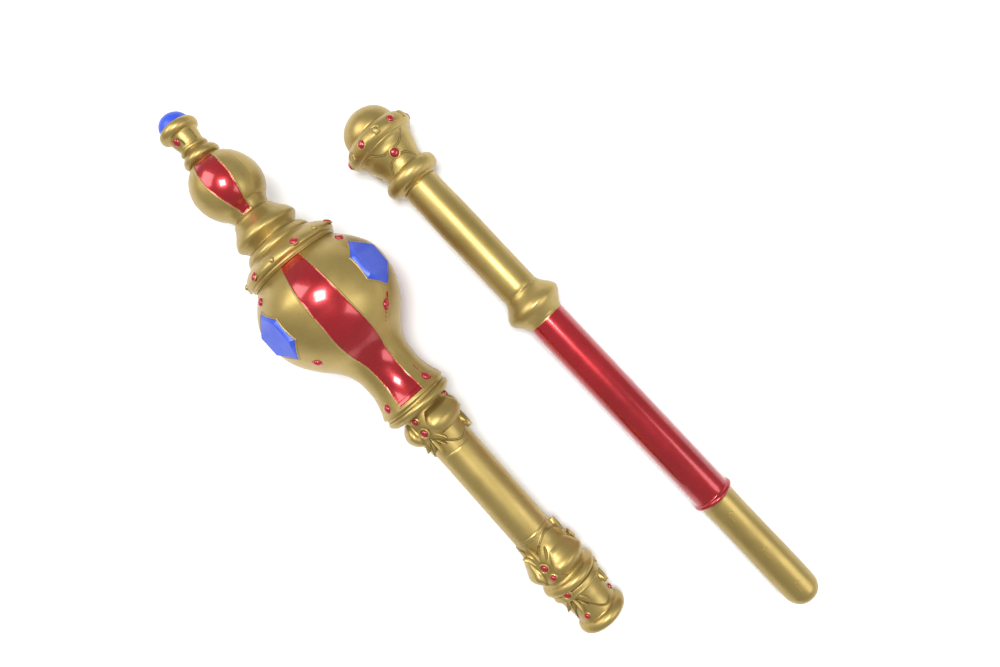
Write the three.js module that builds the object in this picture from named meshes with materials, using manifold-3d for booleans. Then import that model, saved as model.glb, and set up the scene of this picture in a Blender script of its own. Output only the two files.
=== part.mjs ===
// A toy sceptre of hollow moulded plastic that comes apart in two halves, laid side by side.
// Millimetres, +Z up. Each half is shaped along its own axis, +X from its tip, and then laid
// down on the floor on its two fattest places. A station is a distance along that axis, and a
// meridian is an angle round it in degrees, from straight up towards +Y.
import * as THREE from 'three';
import { ConvexGeometry } from 'three/addons/geometries/ConvexGeometry.js';
import { mergeVertices } from 'three/addons/utils/BufferGeometryUtils.js';
import Module from 'manifold-3d';

const wasm = await Module();
wasm.setup();

// Driving dimensions: the head moulding.
const HEAD_LENGTH = 250.5;
const DOME = { end: 8.8, radius: 10.5 };
const FINIAL_RING = { station: 12.6, radius: 13.6, bead: 3.8 };
const FLARE = { station: 34, radius: 12.8 };
const BALL = { station: 58.4, radius: 23.8 };
const WAIST = { station: 81.5, radius: 13.2 };
const BARREL = { station: 96, radius: 23.1 };
const GEM_RING = { radius: 35, gems: 118 };
const BELLY = { station: 154, radius: 48.1 };
const NECK = { station: 218, radius: 20.0 };
const FOOT = { station: 240.8, radius: 25.0 };
const HEAD_COLUMNS = 26;
const HEX_GEM = { middle: 156.2, long: 18.2, shoulder: 8, half: 16.5, table: 48, tip: 46.6 };
const HEX_MERIDIANS = [59, -50, 182];

// Driving dimensions: the grip moulding, which starts where the head moulding ends.
const JOINT_GAP = 0.3;
const GRIP_START = HEAD_LENGTH + JOINT_GAP;
const GRIP_END = 447.7;
const GRIP_TUBE = 14.7;
const LOBES = 3;
const FLOWER_MERIDIAN = -25.5;
const UPPER_BULB = { station: 263, radius: 23 };
const LOWER_BULB = { station: 391.8, radius: 23.1 };
const TORUS = { station: 406.6, radius: 21.5, bead: 3.9 };
const END_RING = { station: 443.1, radius: 18.8, bead: 4.6 };
const SOCKET = { radius: 13.4, depth: 104 };
const LOBE_NOTCH = 3;
const FLOWERS = [
  { station: 264, radius: 16.1, fan: 1 },
  { station: 388, radius: 15.7, fan: -1 },
  { station: 411.2, radius: 17, fan: 1 },
];
const GRIP_GEMS = [[254.9, 16.2], [264, 19.8], [387.4, 18], [395.8, 18.4], [411.2, 19.4], [433.4, 15.4]];
const SCALLOP = 6;
const CUFF_EDGES = [
  { from: 282, to: 284, side: -1 }, { from: 369, to: 370, side: 1 }, { from: 434, to: 436, side: -1 },
];

// Driving dimensions: the staff moulding.
const POMMEL = { end: 17.3, radius: 20.2 };
const GEM_BAND = { radius: 26.6, gems: 25 };
const POMMEL_TORUS = { station: 58.4, radius: 21, bead: 6 };
const STAFF_TUBE = 13.9;
const COLLAR = { radius: 21.4 };
const FLANGE = { station: 365.4, radius: 15.7, half: 1.7 };
const STUB = { radius: 13, end: 467.2, round: 7 };
const STAFF_COLUMNS = 22;

// Driving dimensions: how the two halves lie.
const STAFF_YAW = 2.94;
const STAFF_TIP = { x: 65.3, y: 94.1 };
const FLAT_DEPTH = 0.35;

const RAD = Math.PI / 180;
const GOLD = { name: 'gold', color: 0xa98d4e, metalness: 0.75, roughness: 0.38 };

// A smooth curve through knots [station, value], as a function of the station.
function through(knots) {
  const slope = (i) => {
    const [a, b] = [knots[Math.max(i - 1, 0)], knots[Math.min(i + 1, knots.length - 1)]];
    return (b[1] - a[1]) / (b[0] - a[0]);
  };
  return (x) => {
    let i = knots.findIndex((knot) => knot[0] >= x) - 1;
    if (x <= knots[0][0]) return knots[0][1];
    if (i < 0) return knots[knots.length - 1][1];
    i = Math.min(i, knots.length - 2);
    const [[x0, y0], [x1, y1]] = [knots[i], knots[i + 1]];
    const step = x1 - x0;
    const u = (x - x0) / step;
    const rise = (3 - 2 * u) * u * u;
    const out = u * (1 - u) * (1 - u) * step * slope(i);
    const back = u * u * (u - 1) * step * slope(i + 1);
    return y0 * (1 - rise) + y1 * rise + out + back;
  };
}

// Points [station, radius] along a curve, evenly from one station to another.
function along(radiusAt, from, to, count) {
  return Array.from({ length: count + 1 }, (_, i) => {
    const station = from + ((to - from) * i) / count;
    return [station, radiusAt(station)];
  });
}

// Points of a rounded bead whose top is at radius and whose section is a circle of radius bead.
function beadRing({ station, radius, bead }, fromDeg, toDeg, count) {
  return Array.from({ length: count + 1 }, (_, i) => {
    const turn = (fromDeg + ((toDeg - fromDeg) * i) / count) * RAD;
    return [station + bead * Math.sin(turn), radius - bead + bead * Math.cos(turn)];
  });
}

// A closed body of revolution about +X. place() may move each point: it takes the station, the
// radius and the turn from 0 to 1, and gives a station, a radius and a meridian in degrees.
const plainTurn = (station, radius, turn) => [station, radius, -360 * turn];

function revolve(outline, columns, place = plainTurn) {
  const points = outline.map(([station, radius]) => new THREE.Vector2(radius, station));
  const lathe = new THREE.LatheGeometry(points, columns);
  const spots = lathe.attributes.position;
  for (let i = 0; i < spots.count; i += 1) {
    const turn = (Math.floor(i / points.length) % columns) / columns;
    const [s0, r0] = outline[i % points.length];
    const [station, radius, meridian] = place(s0, r0, turn);
    spots.setXYZ(i, station, radius * Math.sin(meridian * RAD), radius * Math.cos(meridian * RAD));
  }
  return toSolid(lathe);
}

// A three.js geometry as a manifold solid.
function toSolid(geometry) {
  const bare = new THREE.BufferGeometry();
  bare.setAttribute('position', geometry.attributes.position);
  bare.setIndex(geometry.index);
  const merged = mergeVertices(bare, 1e-4);
  const corners = merged.index.array;
  const kept = [];
  for (let i = 0; i < corners.length; i += 3) {
    const [a, b, c] = [corners[i], corners[i + 1], corners[i + 2]];
    if (a !== b && b !== c && c !== a) kept.push(a, b, c);
  }
  const vertProperties = new Float32Array(merged.attributes.position.array);
  return new wasm.Manifold(new wasm.Mesh({ numProp: 3, vertProperties, triVerts: new Uint32Array(kept) }));
}

function toMesh(name, solid) {
  const { vertProperties, triVerts } = solid.getMesh();
  const geometry = new THREE.BufferGeometry();
  geometry.setAttribute('position', new THREE.BufferAttribute(new Float32Array(vertProperties), 3));
  geometry.setIndex(new THREE.BufferAttribute(new Uint32Array(triVerts), 1));
  geometry.computeVertexNormals();
  const mesh = new THREE.Mesh(geometry, new THREE.MeshStandardMaterial(GOLD));
  mesh.name = name;
  return mesh;
}

// A small form that stands on the surface: its +Z points out along the meridian, and its +X
// keeps the direction of the axis, leaning by slope degrees where the surface does.
function standOn(geometry, station, radius, meridian, slope = 0) {
  const pose = new THREE.Matrix4().makeRotationX(-meridian * RAD);
  pose.multiply(new THREE.Matrix4().makeTranslation(station, 0, radius));
  pose.multiply(new THREE.Matrix4().makeRotationY(slope * RAD));
  return toSolid(geometry.clone().applyMatrix4(pose));
}

function roundGem(radius, height) {
  const outline = [[0, -1], [1, 0], [0.72, 0.7], [0, 1]];
  const points = outline.map(([out, up]) => new THREE.Vector2(out * radius, up * height));
  return new THREE.LatheGeometry(points, 5).rotateX(Math.PI / 2);
}

function hexStud(across) {
  return new THREE.CylinderGeometry(across * 0.4, across * 0.56, 2.6, 6).rotateX(Math.PI / 2);
}

// A leaf with a ridge along its middle, pointed at both ends.
function petal(long, wide, high) {
  const outline = [[0, -1], [0.86, -0.4], [0.86, 0.3], [0, 1]];
  const points = outline.map(([out, up]) => new THREE.Vector2(out, up));
  return new THREE.LatheGeometry(points, 4).rotateZ(-Math.PI / 2).scale(long / 2, wide / 2, high);
}

// ---- The head moulding ----

// Finial: a blue dome in a rounded ring, a small cup, a thin ring and a flared rim.
function finialOutline() {
  const dome = (s) => DOME.radius * Math.sqrt(Math.max(0, 1 - ((DOME.end - s) / DOME.end) ** 2));
  return [
    [0, 0], ...[0.5, 2.4, 5.4].map((s) => [s, dome(s)]), [DOME.end, DOME.radius],
    ...beadRing(FINIAL_RING, -75, 75, 4),
    [17.4, 10.2], [24.8, 8.7], [26.2, 9.7], [28.6, 9.8], [29.4, 9.2],
    [FLARE.station - 2.2, 12.2], [FLARE.station + 1, FLARE.radius], [FLARE.station + 2.8, 11.6],
  ];
}

function ballOutline() {
  const sphere = (s) => Math.sqrt(BALL.radius ** 2 - (s - BALL.station) ** 2);
  return [...along(sphere, 38.2, 74.6, 6), [78.4, 14.9], [WAIST.station, WAIST.radius]];
}

// Barrel collar, a rounded step, the ring that carries twelve gems, and its lip.
function gemRingOutline() {
  const shoulder = through([[82, WAIST.radius], [86, 16.2], [91.6, 20.8], [96, BARREL.radius]]);
  const step = through([[103.2, 18.6], [105.4, 22.2], [108.6, 24.1]]);
  const ring = through([[110, 24.8], [113.6, 30.8], [116.6, 33.8], [118.9, GEM_RING.radius], [122, 33.7]]);
  return [
    ...along(shoulder, 84.6, BARREL.station, 3), [BARREL.station + 2, 22.3], [102.4, 18.4],
    ...along(step, 103.2, 108.6, 2), [109.8, 24.2], ...along(ring, 113, 122, 3), [122.8, 32.3], [124.2, 32.4],
  ];
}

// Pear: the swelling belly and its neck, down to the foot rings.
const pearRadius = through([
  [124.2, 31.2], [130.4, 36.9], [138, 43.1], [146, 47], [BELLY.station, BELLY.radius], [162.6, 47.4],
  [172.6, 45], [182.6, 39.8], [190.4, 33.6], [197.4, 27.2], [203.6, 23.2], [210.6, 20.8],
  [NECK.station, NECK.radius], [226, 20.2], [233.5, 22], [FOOT.station, FOOT.radius],
]);

function pearOutline() {
  const rows = [125.4, 131, 138, 146, BELLY.station, 163, 172, 180.5, 188, 195, 202, 210, 221, 232];
  return [
    ...rows.map((s) => [s, pearRadius(s)]), [FOOT.station, FOOT.radius], [FOOT.station + 1, FOOT.radius],
    [243.6, 23.8], [245.4, 24.9], [248.8, 24.9], [HEAD_LENGTH, 23.6], [HEAD_LENGTH, 0],
  ];
}

// A long hexagonal gem: its girdle lies on the belly, and its flat table stands proud of it.
function hexGem(meridian) {
  const { middle, long, shoulder, half, table, tip } = HEX_GEM;
  const points = [];
  for (const [end, side] of [[1, 0], [-1, 0], [1, 1], [1, -1], [-1, 1], [-1, -1]]) {
    const station = middle + end * (side ? shoulder : long);
    const angle = side * half * RAD;
    for (const lift of [0.5, -6]) {
      const radius = pearRadius(station) + lift;
      points.push(new THREE.Vector3(station, radius * Math.sin(angle), radius * Math.cos(angle)));
    }
    const inset = middle + end * (side ? shoulder * 0.86 : long * 0.72);
    points.push(new THREE.Vector3(inset, side * 11.4, side ? table : tip));
  }
  return toSolid(new ConvexGeometry(points).rotateX(-meridian * RAD));
}

// Round red gems in rows: above and below each hexagonal gem, and at the foot of the neck.
const ROUND_GEMS = [
  { station: 132.4, lean: -38, meridians: [63, -50, 183] },
  { station: 184, lean: 34, meridians: [49.5, -44, 183] },
  { station: 235.6, lean: -14, meridians: [51, -45, 183] },
];

function head() {
  const outline = [...finialOutline(), ...ballOutline(), ...gemRingOutline(), ...pearOutline()];
  let solid = revolve(outline, HEAD_COLUMNS).add(standOn(roundGem(2.6, 1.8), 20.5, 9.7, -33, 12));
  for (const meridian of HEX_MERIDIANS) solid = solid.add(hexGem(meridian));
  for (const { station, lean, meridians } of ROUND_GEMS) {
    for (const meridian of meridians) {
      solid = solid.add(standOn(roundGem(3, 1.9), station, pearRadius(station), meridian, lean));
    }
  }
  for (let k = 0; k < 6; k += 1) {
    solid = solid.add(standOn(roundGem(3.2, 1.9), GEM_RING.gems, 34, 22 + 60 * k, -48));
    solid = solid.add(standOn(roundGem(2.4, 1.5), GEM_RING.gems, 34, -8 + 60 * k, -48));
  }
  return solid;
}

// ---- The grip moulding ----

// Meridians of one lobe, from its flower line to the next, and how far each is swollen.
const LOBE_COLUMNS = [[0, 0], [9, 0.1], [15, 0.85], [36, 1], [60, 1], [84, 1], [105, 0.85], [111, 0.1]];

// Lobes swell between the flower lines; the cuffs' edges run in scallops towards the tube.
function gripPlace(station, radius, turn) {
  const index = Math.round(turn * LOBE_COLUMNS.length * LOBES);
  const [offset, swell] = LOBE_COLUMNS[index % LOBE_COLUMNS.length];
  const lobe = Math.floor(index / LOBE_COLUMNS.length);
  const meridian = FLOWER_MERIDIAN - (360 / LOBES) * lobe - offset;
  const inBulb = (bulb, half) => Math.max(0, 1 - ((station - bulb.station) / half) ** 2);
  const notch = Math.max(inBulb(UPPER_BULB, 9), inBulb(LOWER_BULB, 9.5)) * LOBE_NOTCH * (swell - 1);
  if (radius < SOCKET.radius + 0.6) return [station, radius, meridian];
  const scallop = SCALLOP * Math.abs(offset / 60 - 1) ** 1.6;
  const edge = CUFF_EDGES.find(({ from, to }) => station >= from && station <= to);
  return [station + (edge ? edge.side * scallop : 0), radius + notch, meridian];
}

function grip() {
  const [high, low] = [UPPER_BULB.radius, LOWER_BULB.radius];
  const upper = through([[253.6, 16.4], [256.4, 19.6], [260, 21.9], [263, high], [267, 20.9], [271, 18.6]]);
  const lower = through([[380, 17.2], [384, 18.4], [388, 20.8], [391.8, low], [396, 21.4], [400.6, 18]]);
  const outline = [
    [GRIP_START, 0], [GRIP_START, 16.2], ...along(upper, 253.6, 271, 5),
    [275, 17.2], [282.6, 15.9], [283.6, GRIP_TUBE], [369, GRIP_TUBE], [370, 15.8], [376, 16.3],
    ...along(lower, 380, 400.6, 5),
    ...beadRing(TORUS, -70, 80, 4), [410.6, 17.6], [411, 19.4], [415.8, 19.3], [416.4, 17.6],
    [434.6, 15.9], [435.4, 15.2], [437.8, 15.1],
    ...beadRing(END_RING, -80, 90, 4), [GRIP_END, SOCKET.radius], [GRIP_END - SOCKET.depth, SOCKET.radius],
    [GRIP_END - SOCKET.depth, 0],
  ];
  let solid = revolve(outline, LOBE_COLUMNS.length * LOBES, gripPlace);
  for (let k = 0; k < LOBES; k += 1) {
    const line = FLOWER_MERIDIAN + (360 / LOBES) * k;
    for (const { station, radius, fan } of FLOWERS) {
      for (const side of [-1, 0, 1]) {
        const form = petal(side ? 10 : 14, side ? 5 : 4.4, 2.7).rotateZ(side * 48 * RAD * fan);
        const reach = side ? 8.4 : 12;
        solid = solid.add(standOn(form, station + fan * reach, radius, line + side * 24, fan * 8));
      }
    }
    for (const [station, radius] of GRIP_GEMS) {
      solid = solid.add(standOn(roundGem(2.7, 2.1), station, radius, line));
    }
  }
  return solid;
}

// ---- The staff moulding ----

function staff() {
  const dome = (s) => POMMEL.radius * Math.sqrt(Math.max(0, 1 - ((POMMEL.end - s) / POMMEL.end) ** 2));
  const band = through([[18.2, 21.6], [21, 24.4], [26.4, GEM_BAND.radius], [30, 24.6], [33, 21.6]]);
  const cup = through([[33.4, 20.9], [38, 19.6], [44, 17.3], [52, 15.6]]);
  const collar = through([
    [167, STAFF_TUBE], [173, 16.2], [179, 20.8], [181.2, COLLAR.radius], [184, 20.7], [193, 14.3],
  ]);
  const end = STUB.end - STUB.round;
  const outline = [
    [0, 0], ...[0.6, 3, 7, 12].map((s) => [s, dome(s)]), [POMMEL.end, POMMEL.radius],
    ...along(band, 18.2, 33, 5), ...along(cup, 33.8, 52, 3),
    ...beadRing(POMMEL_TORUS, -78, 80, 5), [65.4, STAFF_TUBE], ...along(collar, 167, 193, 6),
    [FLANGE.station - FLANGE.half, STAFF_TUBE + 0.2], [FLANGE.station - 0.8, FLANGE.radius],
    [FLANGE.station + 0.8, FLANGE.radius], [FLANGE.station + FLANGE.half, STUB.radius + 0.4],
    [end - 4, STUB.radius], [end, STUB.radius - 0.5], [end + 4, STUB.radius - 2.6],
    [STUB.end - 0.8, 8.4], [STUB.end, 5], [STUB.end, 0],
  ];
  let solid = revolve(outline, STAFF_COLUMNS);
  for (let k = 0; k < 6; k += 1) {
    solid = solid.add(standOn(roundGem(3.1, 2), GEM_BAND.gems, 26.1, -26.5 + 60 * k, -12));
    solid = solid.add(standOn(hexStud(7.2), GEM_BAND.gems, 25.5, 4 + 60 * k, -12));
  }
  for (let k = 0; k < 3; k += 1) solid = solid.add(standOn(roundGem(3.4, 2), 42.6, 18, 4 + 120 * k, 18));
  return solid;
}

// ---- Laying the halves down ----

const lowest = (solid, slope) => solid.rotate([0, slope, 0]).boundingBox().min[2];

// The slope, in degrees, at which the front and the back of a half touch the floor together.
function restingSlope(front, back) {
  let [gentle, steep] = [0, 12];
  for (let i = 0; i < 30; i += 1) {
    const slope = (gentle + steep) / 2;
    if (lowest(back, slope) > lowest(front, slope)) gentle = slope;
    else steep = slope;
  }
  return gentle;
}

function lay(solids, slope, yaw, x, y) {
  const floor = Math.min(...solids.map((solid) => lowest(solid, slope))) + FLAT_DEPTH;
  const laid = solids.map((solid) => solid.rotate([0, slope, yaw]).translate([x, y, -floor]));
  return laid.map((solid) => solid.trimByPlane([0, 0, 1], 0));
}

const upperHalf = [head(), grip()];
const [headSolid, gripSolid] = lay(upperHalf, restingSlope(...upperHalf), 0, 0, 0);
const lowerHalf = staff();
const lowerEnds = [lowerHalf.trimByPlane([-1, 0, 0], -200), lowerHalf.trimByPlane([1, 0, 0], 200)];
const [staffSolid] = lay([lowerHalf], restingSlope(...lowerEnds), STAFF_YAW, STAFF_TIP.x, STAFF_TIP.y);

const sceptre = new THREE.Group();
sceptre.add(toMesh('head', headSolid), toMesh('grip', gripSolid), toMesh('staff', staffSolid));
const box = new THREE.Box3().setFromObject(sceptre);
const centre = box.getCenter(new THREE.Vector3());
sceptre.position.set(-centre.x, -centre.y, -box.min.z);

export default sceptre;
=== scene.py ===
import math

import bpy
import numpy as np
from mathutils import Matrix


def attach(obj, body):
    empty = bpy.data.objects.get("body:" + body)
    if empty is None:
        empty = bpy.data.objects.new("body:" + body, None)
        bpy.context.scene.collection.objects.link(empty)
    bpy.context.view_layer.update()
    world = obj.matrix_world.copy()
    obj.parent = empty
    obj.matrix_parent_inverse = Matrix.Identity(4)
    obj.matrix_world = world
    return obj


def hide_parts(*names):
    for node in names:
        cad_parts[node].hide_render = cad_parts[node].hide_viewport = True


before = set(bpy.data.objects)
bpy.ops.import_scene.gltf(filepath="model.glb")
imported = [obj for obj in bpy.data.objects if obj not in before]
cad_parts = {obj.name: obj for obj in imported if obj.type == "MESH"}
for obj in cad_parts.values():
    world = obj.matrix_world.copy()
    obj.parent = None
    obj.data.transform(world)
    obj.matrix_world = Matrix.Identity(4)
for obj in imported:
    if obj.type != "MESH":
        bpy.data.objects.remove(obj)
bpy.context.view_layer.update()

# How the two halves lie, as in the solids: the tip of each axis in millimetres, how far the
# axis slopes down towards its other end, and how far it is turned towards +Y, in degrees.
HEAD_LAY = {"tip": (-265.96, -41.30, 64.87), "slope": 6.02, "yaw": 0.0}
STAFF_LAY = {"tip": (-200.66, 52.81, 27.87), "slope": 1.91, "yaw": 2.94}

# Stations are millimetres along an axis from its tip. Meridians are degrees round it, from
# straight up towards +Y.
PITCH = 120.0  # between the three repeats of the ornament
GEM_PITCH = 60.0  # between gems of one kind on a ring
HEAD_SEAM, GRIP_SEAM, STAFF_SEAM = 51.0, 54.5, 47.0  # parting line of the mould
FLOWER = -25.5  # first of the three lines that carry the flowers

# Marks are distances in millimetres that the paint reads; FAR is beyond any effect.
FAR = 9.0
PLAIN_MARKS = {"red": -FAR, "blue": -FAR, "etch": FAR, "seam": FAR}
MILLIMETRE = 0.001


# ---- Laying out and building surfaces ----


def place(lay, station, radius, meridian):
    """Points of a half in metres, in the row frame. A point lies at its station along the
    axis and at its radius from it, at its meridian; the half is then sloped about Y, turned
    about Z and moved to its tip."""
    station, radius, meridian = np.broadcast_arrays(station, radius, meridian)
    turn = np.radians(meridian)
    x, y, z = station, radius * np.sin(turn), radius * np.cos(turn)
    slope, yaw = math.radians(lay["slope"]), math.radians(lay["yaw"])
    x, z = x * math.cos(slope) + z * math.sin(slope), z * math.cos(slope) - x * math.sin(slope)
    x, y = x * math.cos(yaw) - y * math.sin(yaw), x * math.sin(yaw) + y * math.cos(yaw)
    return (np.stack([x, y, z], axis=-1) + np.array(lay["tip"])) * MILLIMETRE


def grid_faces(rows, columns, wrap_rows=False):
    """Four-cornered faces between neighbours of a grid whose columns close on themselves, and
    whose rows do too where they are wrapped."""
    index = np.arange(rows * columns).reshape(rows, columns)
    wide = np.pad(index, ((0, int(wrap_rows)), (0, 1)), mode="wrap")
    corners = [wide[:-1, :-1], wide[1:, :-1], wide[1:, 1:], wide[:-1, 1:]]
    return np.stack(corners, axis=-1).reshape(-1, 4)


def end_fans(rows, columns):
    """Triangles from the first row of a grid to a first pole, and from its last row to a
    second. The poles come after the grid's own points."""
    count = rows * columns
    ring = np.arange(columns)
    ahead = np.roll(ring, -1)
    last = count - columns
    first_fan = np.stack([ring, ahead, np.full(columns, count)], axis=-1)
    last_fan = np.stack([ahead + last, ring + last, np.full(columns, count + 1)], axis=-1)
    return np.concatenate([first_fan, last_fan])


def add_piece(name, points, faces, material, marks, node):
    """A smooth mesh with its marks, which rides on the part and stands for the node."""
    mesh = bpy.data.meshes.new(name)
    mesh.from_pydata(points.tolist(), [], faces)
    for key, values in marks.items():
        layer = mesh.attributes.new(key, "FLOAT", "POINT")
        layer.data.foreach_set("value", np.ascontiguousarray(values, np.float32))
    mesh.shade_smooth()
    mesh.materials.append(material)
    mesh.update()
    piece = bpy.data.objects.new(name, mesh)
    bpy.context.scene.collection.objects.link(piece)
    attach(piece, "root")
    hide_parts(node)


def closed_piece(name, rings, poles, material, node, marks=None):
    """Equal closed forms in one mesh. Each form has rows of points that go round it; a fan
    closes its first row onto its first pole, and its last row onto its second."""
    forms, rows, columns = rings.shape[:3]
    points = np.concatenate([rings.reshape(forms, rows * columns, 3), poles], axis=1)
    shift = np.arange(forms)[:, None, None] * points.shape[1]
    quads = (grid_faces(rows, columns) + shift).reshape(-1, 4)
    fans = (end_fans(rows, columns) + shift).reshape(-1, 3)
    values = {}
    for key, mark in {**PLAIN_MARKS, **(marks or {})}.items():
        mark = np.broadcast_to(mark, (rows, columns))
        one = np.concatenate([mark.ravel(), mark[0, :1], mark[-1, :1]])
        values[key] = np.tile(one, forms)
    faces = [*quads.tolist(), *fans.tolist()]
    add_piece(name, points.reshape(-1, 3), faces, material, values, node)


def rim_piece(name, rings, node):
    """Equal gold rims in one mesh, whose rows close on themselves as their columns do."""
    forms, rows, columns = rings.shape[:3]
    shift = np.arange(forms)[:, None, None] * rows * columns
    faces = (grid_faces(rows, columns, True) + shift).reshape(-1, 4)
    points = rings.reshape(-1, 3)
    values = {key: np.full(len(points), value) for key, value in PLAIN_MARKS.items()}
    add_piece(name, points, faces.tolist(), GOLD, values, node)


def ends_of(rings):
    """The middles of each form's first and last rows, as its two poles."""
    return rings[:, [0, -1]].mean(axis=2)


def gem_piece(name, points, material, node):
    """Closed forms whose first row lies deep in the body, and whose last row is their top
    point."""
    rings = points[:, :-1]
    poles = np.stack([rings[:, 0].mean(axis=1), points[:, -1].mean(axis=1)], axis=1)
    closed_piece(name, rings, poles, material, node)


def raised_strip(name, top, deep, node):
    """Closed forms between an outer surface and a deep one with the same rows and columns."""
    rings = np.concatenate([top, deep[:, :, ::-1]], axis=2)
    closed_piece(name, rings, ends_of(rings), GOLD, node)


def turned_piece(name, lay, outline, meridians, node, relief=0.0, marks=None):
    """A turned body. Each row of the grid is a point of the outline carried round the axis and
    raised by the relief, and both poles lie on the axis."""
    rings = place(lay, outline[:, :1], outline[:, 1:] + relief, meridians)
    poles = place(lay, outline[[0, -1], 0], 0.0, 0.0)
    closed_piece(name, rings[None], poles[None], GOLD, node, marks)


# ---- Outlines ----


def between(low, high, step):
    """Even places from low to high, about a step apart."""
    return np.linspace(low, high, max(2, round(abs(high - low) / step) + 1))


def curve_at(knots, at):
    """Value at each place on a smooth curve through knots, whose slope at a knot is that from
    its neighbour on one side to its neighbour on the other."""
    x, y = np.array(knots, float).T
    slope = np.gradient(y, x)
    i = np.clip(np.searchsorted(x, at) - 1, 0, len(x) - 2)
    width = x[i + 1] - x[i]
    u = np.clip((at - x[i]) / width, 0, 1)
    rise = u * u * (3 - 2 * u)
    tangents = u * (1 - u) ** 2 * slope[i] - u * u * (1 - u) * slope[i + 1]
    return y[i] * (1 - rise) + y[i + 1] * rise + tangents * width


def curve(knots, step=0.5):
    """Points [station, radius] along that curve."""
    at = between(knots[0][0], knots[-1][0], step)
    return np.column_stack([at, curve_at(knots, at)])


def bead(station, top, half, start=-90.0, end=90.0, step=0.4):
    """Points of a round bead: a circle of radius half whose highest point is at radius top."""
    turn = np.radians(between(start, end, math.degrees(step / half)))
    return np.column_stack([station + half * np.sin(turn), top - half + half * np.cos(turn)])


DOME_START = 1.5  # degrees from the tip to the first ring of a dome


def dome(length, radius, count=28):
    """Points of a dome from its tip at station 0: a quarter of an ellipse."""
    turn = np.radians(np.linspace(DOME_START, 90, count))
    return np.column_stack([length * (1 - np.cos(turn)), radius * np.sin(turn)])


# Columns of a panel's grid: millimetres beside its border, and how many lie further in and out.
BESIDE_BORDER = np.array([-1.9, -1.3, -0.9, -0.6, -0.3, 0, 0.3, 0.6, 0.9, 1.3, 1.9])
INNER_COLUMNS, OUTER_COLUMNS = 11, 19
LEAST_RADIUS = 10.0


def panel_meridians(centre, half_angle, radius):
    """Meridians of a grid whose columns follow the borders of three equal panels, closely
    spaced across each border, and the distance in millimetres inside the nearest border."""
    half = np.asarray(half_angle, float)[:, None]
    across = half + np.degrees(BESIDE_BORDER / np.maximum(radius, LEAST_RADIUS)[:, None])
    inner = across[:, :1] * np.linspace(0, 1, INNER_COLUMNS)[:-1]
    past = np.linspace(0, 1, OUTER_COLUMNS)[1:]
    outer = across[:, -1:] + (PITCH / 2 - across[:, -1:]) * past
    side = np.concatenate([inner, across, outer], axis=1)
    whole = np.concatenate([-side[:, :0:-1], side[:, :-1]], axis=1)
    inside = np.radians(half - np.abs(whole)) * np.asarray(radius)[:, None]
    meridians = np.concatenate([whole + centre + PITCH * k for k in range(3)], axis=1)
    return meridians, np.tile(inside, (1, 3))


def smooth_step(low, high, value):
    """From 0 below low to 1 above high, with level ends."""
    u = np.clip((value - low) / (high - low), 0, 1)
    return u * u * (3 - 2 * u)


def round_distance(station, meridian, radius, spot_station, spot_meridian):
    """Distance over the surface, in millimetres, from each grid point to one spot."""
    across = np.radians((meridian - spot_meridian + 180) % 360 - 180) * radius
    return np.hypot(station - spot_station, across)


def seam_mark(meridian, radius, seam):
    """Distance round the surface to the nearer of two parting lines, half a turn apart."""
    return np.radians((meridian - seam + 90) % 180 - 90) * radius


# ---- Paint ----


class Nodes:
    """Short ways to add nodes to one tree. A value given is a number, a colour or a socket."""

    def __init__(self, tree):
        self.tree = tree

    def add(self, kind, **settings):
        node = self.tree.nodes.new(kind)
        for key, value in settings.items():
            setattr(node, key, value)
        return node

    def feed(self, target, value):
        if isinstance(value, bpy.types.NodeSocket):
            self.tree.links.new(value, target)
        else:
            target.default_value = value

    def maths(self, operation, first, second=0.0, clamp=False):
        node = self.add("ShaderNodeMath", operation=operation, use_clamp=clamp)
        self.feed(node.inputs[0], first)
        self.feed(node.inputs[1], second)
        return node.outputs[0]

    def ramp(self, value, low, high, to_low=0.0, to_high=1.0):
        node = self.add("ShaderNodeMapRange", interpolation_type="SMOOTHSTEP")
        for number, part in enumerate((value, low, high, to_low, to_high)):
            self.feed(node.inputs[number], part)
        return node.outputs[0]

    def noise(self, vector, scale, detail=2.0, roughness=0.5):
        node = self.add("ShaderNodeTexNoise")
        self.feed(node.inputs["Vector"], vector)
        node.inputs["Scale"].default_value = scale
        node.inputs["Detail"].default_value = detail
        node.inputs["Roughness"].default_value = roughness
        return node.outputs["Fac"]

    def blend(self, share, first, second):
        node = self.add("ShaderNodeMix", data_type="RGBA")
        self.feed(node.inputs["Factor"], share)
        self.feed(node.inputs[6], first)
        self.feed(node.inputs[7], second)
        return node.outputs[2]

    def mix(self, share, first, second):
        node = self.add("ShaderNodeMix", data_type="FLOAT")
        self.feed(node.inputs["Factor"], share)
        self.feed(node.inputs[2], first)
        self.feed(node.inputs[3], second)
        return node.outputs[0]


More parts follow.
